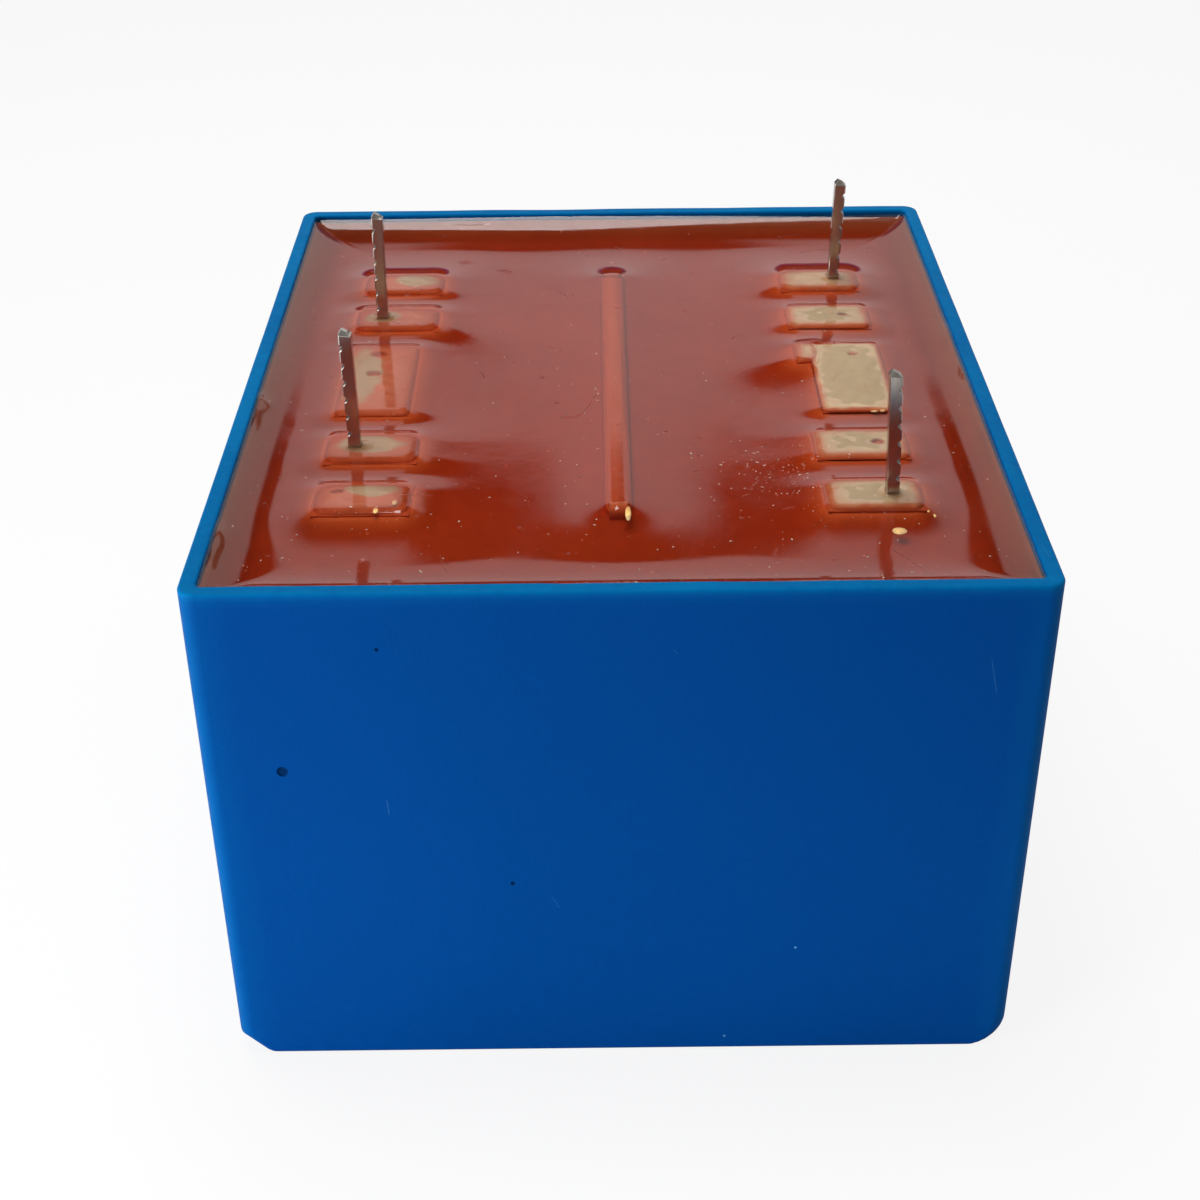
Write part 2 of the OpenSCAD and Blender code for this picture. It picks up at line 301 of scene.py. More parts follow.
def make_piece(name: str, points: np.ndarray, quads: np.ndarray, tris: np.ndarray,
               finish: "Finish", masks: dict[str, np.ndarray] | None = None,
               smooth: bool = True) -> bpy.types.Object:
    """Make an object of the part from points in millimetres, with its faces turned outwards.

    Args:
        name: Name of the piece.
        points: Its points.
        quads: Its faces with four corners.
        tris: Its faces with three corners.
        finish: Finish that it takes.
        masks: Values to keep on the points, by name.
        smooth: Whether the faces are shaded as one round surface.

    Returns:
        The new object, which rides on the part's one body.
    """
    if enclosed_volume(points, quads, tris) < 0:
        quads, tris = quads[:, ::-1], tris[:, ::-1]
    mesh = bpy.data.meshes.new(name)
    mesh.vertices.add(len(points))
    mesh.vertices.foreach_set("co", (points * MM).astype(np.float32).ravel())
    corners = np.concatenate([quads.ravel(), tris.ravel()]).astype(np.int32)
    starts = np.concatenate([np.arange(len(quads)) * 4, quads.size + np.arange(len(tris)) * 3])
    mesh.loops.add(len(corners))
    mesh.loops.foreach_set("vertex_index", corners)
    mesh.polygons.add(len(starts))
    mesh.polygons.foreach_set("loop_start", starts.astype(np.int32))
    mesh.polygons.foreach_set("use_smooth", np.full(len(starts), smooth))
    mesh.update(calc_edges=True)
    mesh.validate()
    for label, values in (masks or {}).items():
        layer = mesh.attributes.new(label, "FLOAT", "POINT")
        layer.data.foreach_set("value", values.astype(np.float32).ravel())
    piece = new_object(name, mesh)
    mesh.materials.append(finish.material())
    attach(piece, "root")
    LOG.info("%s: %d points, %d faces", name, len(points), len(starts))
    return piece


# ---------------------------------------------------------------- Shader groups and finishes


class Sheet:
    """A node tree that is filled one node at a time."""

    def __init__(self, tree: bpy.types.NodeTree) -> None:
        """Start on an empty tree."""
        self.tree = tree
        tree.nodes.clear()

    def node(self, kind: str, **settings: object) -> bpy.types.Node:
        """Add a node and set its properties.

        Args:
            kind: Type of the node, without the leading word ShaderNode.
            settings: Properties of the node.

        Returns:
            The new node.
        """
        made = self.tree.nodes.new(kind if kind.startswith("Node") else f"ShaderNode{kind}")
        for key, value in settings.items():
            setattr(made, key, value)
        return made

    def link(self, start: bpy.types.NodeSocket, end: bpy.types.NodeSocket) -> None:
        """Join an output to an input."""
        self.tree.links.new(start, end)

    def feed(self, node: bpy.types.Node, **inputs: object) -> bpy.types.Node:
        """Set or link inputs of a node, named with underscores for spaces.

        Args:
            node: Node to feed.
            inputs: A number, a colour or an output for each named input.

        Returns:
            The same node.
        """
        for key, value in inputs.items():
            socket = node.inputs[int(key[1:])] if key[1:].isdigit() else node.inputs[key.replace("_", " ")]
            if isinstance(value, bpy.types.NodeSocket):
                self.link(value, socket)
            else:
                socket.default_value = value
        return node

    def math(self, operation: str, first: object, second: object = 0.0) -> bpy.types.NodeSocket:
        """Add a Math node and give its output."""
        made = self.node("Math", operation=operation)
        return self.feed(made, i0=first, i1=second).outputs[0]

    def range(self, value: object, low: float, high: float, to_low: float = 0.0,
              to_high: float = 1.0) -> bpy.types.NodeSocket:
        """Map a value smoothly from one range to another and give the output."""
        made = self.node("MapRange", interpolation_type="SMOOTHSTEP")
        self.feed(made, Value=value, From_Min=low, From_Max=high, To_Min=to_low, To_Max=to_high)
        return made.outputs[0]

    def angle_range(self, angle: object, start: float, end: float, falls: bool = False) -> bpy.types.NodeSocket:
        """Rise, or fall, smoothly between two angles in degrees and give the output."""
        return self.range(angle, math.radians(start), math.radians(end), float(falls), float(not falls))

    def mix(self, share: object, first: object, second: object, blend: str = "MIX") -> bpy.types.NodeSocket:
        """Mix two colours and give the output."""
        made = self.node("Mix", data_type="RGBA", blend_type=blend)
        self.feed(made, i0=share, i6=first, i7=second)
        return made.outputs[2]


class Effect(Enum):
    """Shader node groups that more than one material uses."""

    CLOUD = "cloudy tone"
    SPECKS = "scattered specks"
    SCRATCHES = "hairline scratches"

    def tree(self) -> bpy.types.NodeTree:
        """Give the group, and build it the first time."""
        makers = {Effect.CLOUD: cloud_group, Effect.SPECKS: speck_group, Effect.SCRATCHES: scratch_group}
        return bpy.data.node_groups.get(self.value) or makers[self]().tree


def mask_group(effect: Effect, **values: float) -> tuple[Sheet, bpy.types.Node, bpy.types.Node]:
    """Start a shader node group that turns a place into a mask.

    Args:
        effect: Effect that the group makes.
        values: Usual value of each input after the vector.

    Returns:
        The sheet to fill, and the nodes that bring the inputs in and take the mask out.
    """
    tree = bpy.data.node_groups.new(effect.value, "ShaderNodeTree")
    tree.interface.new_socket("Vector", in_out="INPUT", socket_type="NodeSocketVector")
    for label, value in values.items():
        tree.interface.new_socket(label, in_out="INPUT", socket_type="NodeSocketFloat").default_value = value
    tree.interface.new_socket("Mask", in_out="OUTPUT", socket_type="NodeSocketFloat")
    sheet = Sheet(tree)
    return sheet, sheet.node("NodeGroupInput"), sheet.node("NodeGroupOutput")


def cloud_group() -> Sheet:
    """Build the cloudy tone: two octaves of soft noise as one mask."""
    sheet, start, end = mask_group(Effect.CLOUD, Scale=200.0, Fine=6.0, Share=0.3)
    broad = sheet.feed(sheet.node("TexNoise"), Vector=start.outputs[0], Scale=start.outputs[1], Detail=2.0)
    fine_scale = sheet.math("MULTIPLY", start.outputs[1], start.outputs[2])
    fine = sheet.feed(sheet.node("TexNoise"), Vector=start.outputs[0], Scale=fine_scale, Detail=3.0)
    made = sheet.node("Mix", data_type="FLOAT")
    sheet.feed(made, i0=start.outputs[3], i2=broad.outputs[0], i3=fine.outputs[0])
    sheet.link(sheet.range(made.outputs[0], 0.3, 0.7), end.inputs[0])
    return sheet


def speck_group() -> Sheet:
    """Build the scattered specks: round spots in a random share of the cells."""
    sheet, start, end = mask_group(Effect.SPECKS, Scale=500.0, Size=0.2, Amount=0.2)
    cells = sheet.feed(sheet.node("TexVoronoi"), Vector=start.outputs[0], Scale=start.outputs[1])
    drawn = sheet.feed(sheet.node("SeparateColor"), Color=cells.outputs["Color"])
    size = sheet.math("MULTIPLY", start.outputs[2], drawn.outputs[1])
    near = sheet.math("LESS_THAN", cells.outputs["Distance"], size)
    chosen = sheet.math("LESS_THAN", drawn.outputs[0], start.outputs[3])
    sheet.link(sheet.math("MULTIPLY", near, chosen), end.inputs[0])
    return sheet


def scratch_group() -> Sheet:
    """Build the hairline scratches: thin level lines of a soft noise, kept in patches."""
    sheet, start, end = mask_group(Effect.SCRATCHES, Scale=90.0, Width=0.006, Amount=0.45)
    lines = sheet.node("TexNoise")
    sheet.feed(lines, Vector=start.outputs[0], Scale=start.outputs[1], Detail=0.0, Distortion=0.4)
    off = sheet.math("ABSOLUTE", sheet.math("SUBTRACT", lines.outputs[0], 0.5))
    thin = sheet.math("LESS_THAN", off, start.outputs[2])
    patch_scale = sheet.math("MULTIPLY", start.outputs[1], 3.1)
    patch = sheet.feed(sheet.node("TexNoise"), Vector=start.outputs[0], Scale=patch_scale, Detail=1.0)
    kept = sheet.math("LESS_THAN", patch.outputs[0], start.outputs[3])
    sheet.link(sheet.math("MULTIPLY", thin, kept), end.inputs[0])
    return sheet


class Paint(Sheet):
    """The node tree of one material, with its shader and the object's coordinates."""

    def __init__(self, material: bpy.types.Material) -> None:
        """Start the material with its shader joined to its output."""
        super().__init__(material.node_tree)
        self.output = self.node("OutputMaterial")
        self.shader = self.node("BsdfPrincipled")
        self.link(self.shader.outputs[0], self.output.inputs["Surface"])
        self.place = self.node("TexCoord").outputs["Object"]

    def effect(self, effect: Effect, **inputs: object) -> bpy.types.NodeSocket:
        """Place a shared group, on the object's coordinates unless told otherwise, and give its mask."""
        made = self.node("Group", node_tree=effect.tree())
        return self.feed(made, **{"Vector": self.place, **inputs}).outputs[0]

    def cloud(self, scale: float, fine: float, share: float, **inputs: object) -> bpy.types.NodeSocket:
        """Give a cloudy tone: its scale, the finer octave's factor on it and that octave's share."""
        return self.effect(Effect.CLOUD, Scale=scale, Fine=fine, Share=share, **inputs)

    def specks(self, scale: float, size: float, amount: float) -> bpy.types.NodeSocket:
        """Give specks: the scale of their cells, their size in a cell and the share of cells."""
        return self.effect(Effect.SPECKS, Scale=scale, Size=size, Amount=amount)

    def scratches(self, scale: float, width: float, amount: float) -> bpy.types.NodeSocket:
        """Give scratches: their scale, their width and the share that is kept."""
        return self.effect(Effect.SCRATCHES, Scale=scale, Width=width, Amount=amount)

    def times(self, value: object, factor: object) -> bpy.types.NodeSocket:
        """Multiply two values."""
        return self.math("MULTIPLY", value, factor)

    def mask(self, name: str) -> bpy.types.NodeSocket:
        """Read a mask that a piece keeps on its points."""
        return self.node("Attribute", attribute_name=name).outputs["Fac"]

    def bump(self, height: bpy.types.NodeSocket, depth: float) -> None:
        """Raise the surface by a height mask, to a depth in metres."""
        made = self.feed(self.node("Bump"), Strength=1.0, Distance=depth, Height=height)
        self.link(made.outputs[0], self.shader.inputs["Normal"])


def rgb(red: float, green: float, blue: float) -> Color:
    """Give an opaque linear colour."""
    return (red, green, blue, 1.0)


@dataclass(frozen=True)
class Finish:
    """A finish of the part: its name, the record's slot and how it is painted."""

    name: str
    slot: str

    def material(self) -> bpy.types.Material:
        """Give the finish's material, and build it the first time."""
        found = bpy.data.materials.get(self.name)
        if found:
            return found
        made = bpy.data.materials.new(self.name)
        made.use_nodes = True
        self.lay_out(Paint(made))
        return made

    def lay_out(self, paint: Paint) -> None:
        """Add the finish's own nodes."""
        raise NotImplementedError


@dataclass(frozen=True)
class CasePlastic(Finish):
    """Satin blue moulding with a painted highlight on the rim and corners, a painted shade darker towards the
    top, fine grain, dust specks and a few pits.
    """

    body: Color = rgb(0.0, 0.056, 0.262)
    shade: Color = rgb(0.0, 0.051, 0.24)
    # Painted highlight: paler blue laid on the rim and corners, where they catch the light.
    edge: Color = rgb(0.0, 0.16, 0.4)
    # Painted shade: the body darkens towards the top and reaches this colour at this height in millimetres.
    dulled: Color = rgb(0.0, 0.045, 0.215)
    dulled_z: float = 30.0
    dust: Color = rgb(0.12, 0.36, 0.62)
    pit: Color = rgb(0.0, 0.012, 0.05)
    roughness: float = 0.42
    specular: float = 0.015
    relief: float = 0.00012
    pits: tuple[tuple[float, float, float, float], ...] = (
        (-14.85, -22.0, 17.04, 0.3), (-4.98, -22.0, 10.52, 0.13), (-10.3, -22.0, 23.4, 0.1),
    )

    def lay_out(self, paint: Paint) -> None:
        """Mix the body colour with a painted shade towards the top, a painted highlight on the rim and corners,
        specks, scratches and pits.
        """
        cloud = paint.cloud(60.0, 30.0, 0.35)
        color = paint.mix(cloud, self.shade, self.body)
        high = paint.feed(paint.node("SeparateXYZ"), Vector=paint.place).outputs["Z"]
        # Painted shade: darker towards the top.
        color = paint.mix(paint.range(high, 0.0, self.dulled_z * MM), color, self.dulled)
        # Painted highlight on the rim and corners, broken up by the cloud.
        wear_and_rim_highlight = paint.times(paint.mask("edge"), paint.range(cloud, -0.5, 1.0, 0.6, 1.0))
        color = paint.mix(wear_and_rim_highlight, color, self.edge)
        lines = paint.times(paint.scratches(110.0, 0.0011, 0.3), 0.22)
        marks = paint.math("MAXIMUM", paint.specks(620.0, 0.11, 0.06), lines)
        color = paint.mix(paint.times(marks, 0.7), color, self.dust)
        pitted: object = 0.0
        for x, y, z, radius in self.pits:
            away = paint.node("VectorMath", operation="DISTANCE")
            paint.feed(away, i0=paint.place, i1=(x * MM, y * MM, z * MM))
            spot = paint.range(away.outputs["Value"], radius * 0.55 * MM, radius * MM, 1.0, 0.0)
            pitted = paint.math("MAXIMUM", spot, pitted)
        color = paint.mix(paint.times(pitted, 0.85), color, self.pit)
        grain = paint.cloud(1500.0, 4.0, 0.4)
        paint.bump(paint.math("SUBTRACT", paint.times(grain, 0.06), pitted), self.relief)
        rough = paint.range(grain, 0.0, 1.0, self.roughness - 0.05, self.roughness + 0.08)
        paint.feed(paint.shader, Base_Color=color, Roughness=rough, Specular_IOR_Level=self.specular)


@dataclass(frozen=True)
class ClearResin(Finish):
    """Glossy casting resin: clear skin that takes in green and blue with depth, a few dull specks."""

    tint: Color = rgb(1.0, 0.96, 0.92)
    takes_in: Color = rgb(0.87, 0.4, 0.05)
    density: float = 2400.0
    roughness: float = 0.05
    refraction: float = 1.5
    relief: float = 0.000004

    def lay_out(self, paint: Paint) -> None:
        """Tint the light inside by depth and roughen the surface in small spots."""
        specks = paint.specks(1300.0, 0.2, 0.2)
        marks = paint.math("MAXIMUM", specks, paint.scratches(160.0, 0.004, 0.4))
        haze = paint.range(paint.cloud(260.0, 5.0, 0.3), 0.3, 1.0, self.roughness, self.roughness * 2.2)
        rough = paint.math("ADD", haze, paint.times(marks, 0.2))
        pebble = paint.times(paint.cloud(900.0, 4.0, 0.3), 0.22)
        paint.bump(paint.math("ADD", specks, pebble), self.relief)
        paint.feed(paint.shader, Base_Color=self.tint, Roughness=rough, IOR=self.refraction,
                   Transmission_Weight=1.0)
        inside = paint.feed(paint.node("VolumeAbsorption"), Color=self.takes_in, Density=self.density)
        paint.link(inside.outputs[0], paint.output.inputs["Volume"])


@dataclass(frozen=True)
class ResinDepth(Finish):
    """Cloudy red-brown depth of the resin, with painted light paler beside the pads and painted shade darker
    beside the walls.
    """

    light: Color = rgb(0.4, 0.12, 0.026)
    dark: Color = rgb(0.34, 0.082, 0.017)
    filler: Color = rgb(0.9, 0.6, 0.35)
    # Painted light beside the pads, where light scattered from the ivory shows, and painted shade beside the
    # walls.
    painted_pad_light: Color = rgb(0.5, 0.14, 0.03)
    painted_wall_shade: Color = rgb(0.15, 0.028, 0.006)

    def lay_out(self, paint: Paint) -> None:
        """Mix two tones in clouds, with paler specks, painted light beside the pads and painted shade beside
        the walls.
        """
        color = paint.mix(paint.cloud(150.0, 8.0, 0.3), self.dark, self.light)
        color = paint.mix(paint.times(paint.specks(1500.0, 0.16, 0.12), 0.4), color, self.filler)
        # Painted light: paler beside the pads.
        color = paint.mix(paint.mask("glow"), color, self.painted_pad_light)
        # Painted shade: darker beside the walls.
        color = paint.mix(paint.mask("shade"), color, self.painted_wall_shade)
        paint.feed(paint.shader, Base_Color=color, Roughness=0.6)


@dataclass(frozen=True)
class BobbinPlastic(Finish):
    """Ivory moulding, mottled, with scuffs and resin stains."""

    body: Color = rgb(0.47, 0.34, 0.2)
    shade: Color = rgb(0.43, 0.305, 0.175)
    stain: Color = rgb(0.36, 0.12, 0.04)
    soaked: Color = rgb(0.4, 0.07, 0.018)
    film: Color = rgb(0.31, 0.215, 0.125)
    relief: float = 0.000006

    def lay_out(self, paint: Paint) -> None:
        """Mix the ivory tones with the film of resin, stains in the scuffs, and specks."""
        cloud = paint.cloud(420.0, 4.0, 0.4)
        color = paint.mix(cloud, self.shade, self.body)
        color = paint.mix(paint.mask("dull"), color, self.film)
        lines = paint.scratches(300.0, 0.008, 0.42)
        specks = paint.times(paint.specks(1100.0, 0.28, 0.14), 0.4)
        color = paint.mix(paint.math("MAXIMUM", paint.times(lines, 0.2), specks), color, self.stain)
        color = paint.mix(paint.mask("soak"), color, self.soaked)
        paint.bump(paint.math("SUBTRACT", cloud, lines), self.relief)
        paint.feed(paint.shader, Base_Color=color, Roughness=0.55, Specular_IOR_Level=0.3)


@dataclass(frozen=True)
class Metal(Finish):
    """Metal with tarnish in clouds and fine draw marks."""

    bright: Color = rgb(0.56, 0.52, 0.47)
    tarnish: Color = rgb(0.34, 0.29, 0.25)
    roughness: float = 0.14
    scale: float = 500.0
    stretch: tuple[float, float, float] = (1.0, 1.0, 0.15)
    relief: float = 0.000002

    def lay_out(self, paint: Paint) -> None:
        """Mix bright metal and tarnish along the drawing direction."""
        drawn = paint.feed(paint.node("Mapping"), Vector=paint.place, Scale=self.stretch)
        cloud = paint.cloud(self.scale, 6.0, 0.45, Vector=drawn.outputs[0])
        color = paint.mix(cloud, self.tarnish, self.bright)
        color = paint.mix(paint.times(paint.specks(1500.0, 0.3, 0.2), 0.5), color, self.tarnish)
        paint.bump(cloud, self.relief)
        rough = paint.range(cloud, 0.0, 1.0, self.roughness + 0.12, self.roughness)
        paint.feed(paint.shader, Base_Color=color, Roughness=rough, Metallic=1.0)


@dataclass(frozen=True)
class TapeFilm(Finish):
    """Yellow polyester film over a winding, with faint turns of wire showing through."""

    body: Color = rgb(0.75, 0.56, 0.14)
    shade: Color = rgb(0.6, 0.4, 0.1)
    relief: float = 0.00003

    def lay_out(self, paint: Paint) -> None:
        """Band the film by the turns below it."""
        turns = paint.node("TexWave", wave_type="BANDS", bands_direction="X")
        paint.feed(turns, Vector=paint.place, Scale=500.0, Distortion=1.2, Detail=1.0)
        color = paint.mix(paint.times(paint.cloud(180.0, 8.0, 0.3), 0.7), self.body, self.shade)
        paint.bump(turns.outputs["Fac"], self.relief)
        paint.feed(paint.shader, Base_Color=color, Roughness=0.3)


@dataclass(frozen=True)
class Dust(Finish):
    """Grains on and in the resin: pale lint, and bright gold chips under the surface that are painted glints.
    """

    body: Color = rgb(0.75, 0.6, 0.5)
    shade: Color = rgb(0.4, 0.22, 0.14)

    def lay_out(self, paint: Paint) -> None:
        """Vary the tone from grain to grain."""
        color = paint.mix(paint.cloud(900.0, 3.0, 0.3), self.shade, self.body)
        paint.feed(paint.shader, Base_Color=color, Roughness=0.7)


CASE_BLUE = CasePlastic("satin blue moulding", "case_plastic")
RESIN_SKIN = ClearResin("red casting resin", "resin")
RESIN_DEPTH = ResinDepth("depth of the resin", "resin")
IVORY = BobbinPlastic("ivory moulding", "bobbin_plastic")
TINNED = Metal("tinned square wire", "tinned_wire")
COPPER = Metal("enamelled copper", "enamelled_copper", bright=rgb(0.72, 0.27, 0.12),
               tarnish=rgb(0.4, 0.12, 0.05), roughness=0.28, scale=700.0, stretch=(1.0, 0.2, 0.2))
SOLDER = Metal("solder", "solder", bright=rgb(0.66, 0.66, 0.66), tarnish=rgb(0.42, 0.42, 0.42),
               roughness=0.24, scale=600.0, stretch=(1.0, 1.0, 1.0))
CORE_STEEL = Metal("silicon steel", "core_steel", bright=rgb(0.42, 0.43, 0.45),
                   tarnish=rgb(0.22, 0.22, 0.24), roughness=0.38, scale=150.0, stretch=(0.15, 1.0, 1.0))
TAPE = TapeFilm("yellow film", "tape")
# Painted glints: bright gold chips under the resin's surface that stand for light caught at the feet of the
# pads and the ridge.
GLINT_CHIPS = Dust("painted glint chips", "resin", rgb(1.0, 0.78, 0.3))
LINT = Dust("pale dust", "resin")


# ---------------------------------------------------------------- Sub-assemblies


@dataclass
class Case:
    """Cup case: one closed shell from the closed face, up the outside, over the rim and down the inside."""

    layout: Layout
    corner_r: float = 0.8
    cavity_r: float = 0.3
    chamfer: float = 1.15
    edge_r: float = 1.6
    rim_r: float = 0.13
    base_r: float = 0.2
    inner_floor_z: float = 1.0
    inner_wall_z: float = 12.0
    sag: float = 0.06
    wear: float = 0.012
    nick: float = 0.05
    # How fast the painted highlight fades away from the rim and from the corners.
    rim_highlight_fade: float = 0.16
    corner_highlight_fade: float = 0.35
    corner_steps: int = 8
    side_steps: int = 30
    face_insets: tuple[float, ...] = (17.5, 12.0, 7.0, 3.0, 1.0, 0.3, 0.1)

    def rings(self) -> tuple[np.ndarray, np.ndarray]:
        """Lay rings of the outline along the profile of the wall.

        Each ring is the round rectangle drawn in by an inset. Near the closed face its X extent is pulled
        in along the chamfer on one side and the quarter circle on the other.

        Returns:
            The rings and the mask of the painted highlight on the rim and corners.
        """
        lay = self.layout
        wall = float(lay.case_half[0] - lay.cavity_half[0])
        low, arc = np.linspace(0, self.edge_r, 15), np.linspace(0, np.pi / 2, 7)
        spread = np.array(self.face_insets)
        top = lay.rim_z - self.rim_r
        side = np.linspace(self.edge_r + 0.3, top - 1.2, 22)
        rise = np.concatenate([side, [top - 0.6, top - 0.25, top - 0.08]])
        inset = np.concatenate([
            spread, 0 * low, 0 * rise, self.rim_r * (1 - np.cos(arc)), [wall * 0.4, wall * 0.6],
            wall - self.rim_r * (1 - np.sin(arc)), np.full(4, wall), wall + spread[::-1] * 0.95,
        ])
        z = np.concatenate([
            0 * spread, low, rise, top + self.rim_r * np.sin(arc), [lay.rim_z, lay.rim_z],
            top + self.rim_r * np.cos(arc), [top - 0.1, top - 1.0, self.inner_wall_z, self.inner_floor_z + 0.1],
            np.full(len(spread), self.inner_floor_z),
        ])
        outer = np.arange(len(z)) < len(spread) + len(low) + len(rise)
        rings = np.stack([
            np.column_stack([
                round_outline(tuple(lay.case_half - i), max(self.corner_r - i, self.cavity_r),
                              self.corner_steps, self.side_steps),
                np.full(4 * (self.corner_steps + self.side_steps), height),
            ])
            for i, height in zip(inset, z)
        ])
        left = np.where(outer, np.maximum(0, self.chamfer - z), 0)
        right = np.where(outer, round_over(self.edge_r, z), 0)
        width = 2 * lay.case_half[0]
        drawn_in = (width - left - right) / width
        rings[..., 0] = rings[..., 0] * drawn_in[:, None] + ((left - right) / 2)[:, None]
        base = np.where(outer, round_over(self.base_r, z), 0)
        rings[..., 1] *= (1 - base / lay.case_half[1])[:, None]
        return self.weathered(rings, outer)

    def weathered(self, rings: np.ndarray, outer: np.ndarray) -> tuple[np.ndarray, np.ndarray]:
        """Sink the long walls by a hair, nick the rim, and give the mask of the painted highlight on the rim
        and corners.

        Args:
            rings: Points of the shell.
            outer: True for the rings of the outer wall.

        Returns:
            The points, and the edge mask: 1 on an edge, falling off with distance from it.
        """
        lay = self.layout
        x, y, z = rings[..., 0], rings[..., 1], rings[..., 2]
        middle = np.cos(x / lay.case_half[0] * np.pi / 2) * np.sin(np.clip(z / lay.rim_z, 0, 1) * np.pi)
        broad = np.abs(y) > lay.case_half[1] - 0.01
        rings[..., 1] = np.where(broad & outer[:, None], y - np.sign(y) * self.sag * middle, y)
        near_rim = ease(lay.rim_z - 0.5, lay.rim_z, z)
        wear_and_rim_highlight = self.wear * (1 + ripple(x, y, 6.0, 3)) + self.nick * ease(1.2, 1.9, ripple(x, y, 1.3, 4))
        rings[..., 2] = z - near_rim * np.clip(wear_and_rim_highlight, 0, 0.09)
        # Mask of the painted highlight: lighter colour on the rim and at the corners, where they catch the
        # light.
        to_rim = np.exp(-np.abs(lay.rim_z - z) / self.rim_highlight_fade)
        away = np.hypot(lay.case_half[0] - np.abs(x), lay.case_half[1] - np.abs(y))
        to_corner = np.exp(-away / self.corner_highlight_fade)
        return rings, np.clip(to_rim + 0.85 * to_corner, 0, 1)

    def build(self) -> None:
        """Make the shell and let it stand for the CAD case."""
        rings, edge = self.rings()
        points, quads, tris = closed_tube(rings)
        edge = np.concatenate([edge.ravel(), [0.0, 0.0]])
        # The edge mask carries the painted highlight of the rim and corners.
        piece = make_piece("case_shell", points, quads, tris, CASE_BLUE, {"edge": edge})
        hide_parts("case")


@dataclass(frozen=True)
class Pad:
    """One terminal pad: its plan, how far it is worn round, and how much resin covers it."""

    name: str
    side: Side
    x: tuple[float, float]
    y: tuple[float, float]
    film: float
    crown: float = 0.12
    edge: float = 0.16
    round: float = 0.35
    holes: tuple[tuple[float, float, float], ...] = ()
    clear: tuple[float, float, float, float] | None = None
    soak: float = 0.85
    sunk: float = 0.0
    border: float = 0.4
    dull: float = 0.3

    @property
    def centre(self) -> tuple[float, float]:
        """Centre of the plan."""
        return (self.side.value * sum(self.x) / 2, sum(self.y) / 2)

    @property
    def half(self) -> tuple[float, float]:
        """Half of the sides of the plan."""
        return ((self.x[1] - self.x[0]) / 2, (self.y[1] - self.y[0]) / 2)


